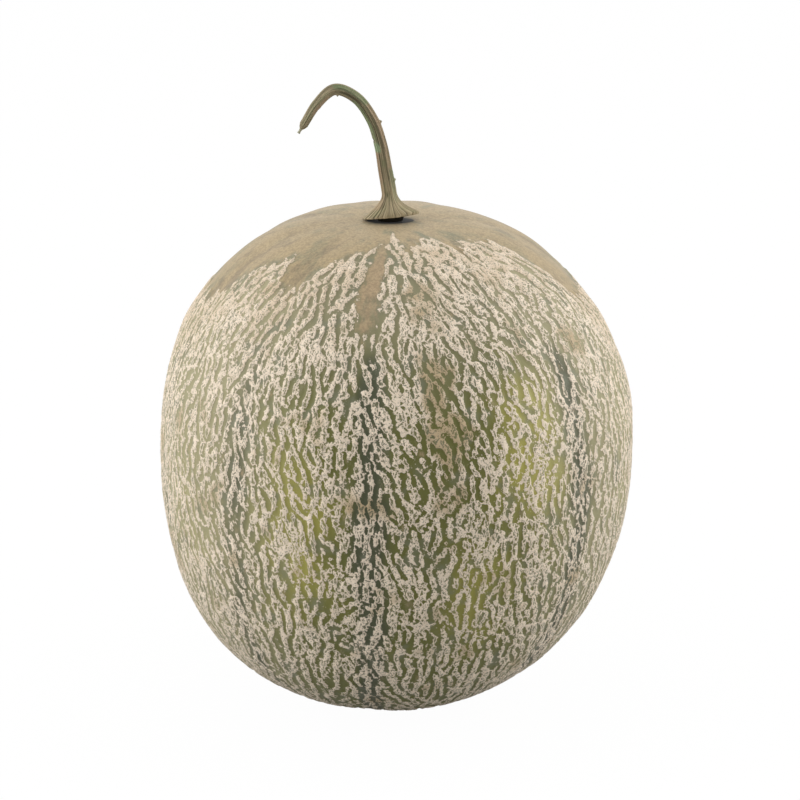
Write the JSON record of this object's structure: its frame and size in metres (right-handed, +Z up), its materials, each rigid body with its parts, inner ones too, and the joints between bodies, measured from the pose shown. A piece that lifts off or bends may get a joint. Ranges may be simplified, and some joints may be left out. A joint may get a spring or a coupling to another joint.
{
  "type": "cantaloupe melon",
  "caption": "Whole netted cantaloupe melon, round and slightly tall, with raised cork netting, a smooth cap and a dry hooked stem; stands on a small flat spot.",
  "frame": {"origin": "middle of the footprint's bounding box, on the surface that the melon rests on", "axes": "+Z up from the flat spot to the stem, -Y the side that the picture shows, stem hooked over towards -X"},
  "size_m": [0.153, 0.1532, 0.204],
  "materials": {
    "rind": "matt, dry rind under pale cork netting",
    "stalk": "dry, fibrous, unvarnished"
  },
  "bodies": {
    "root": {"fruit": "rind", "stem": "stalk"}
  },
  "joints": []
}
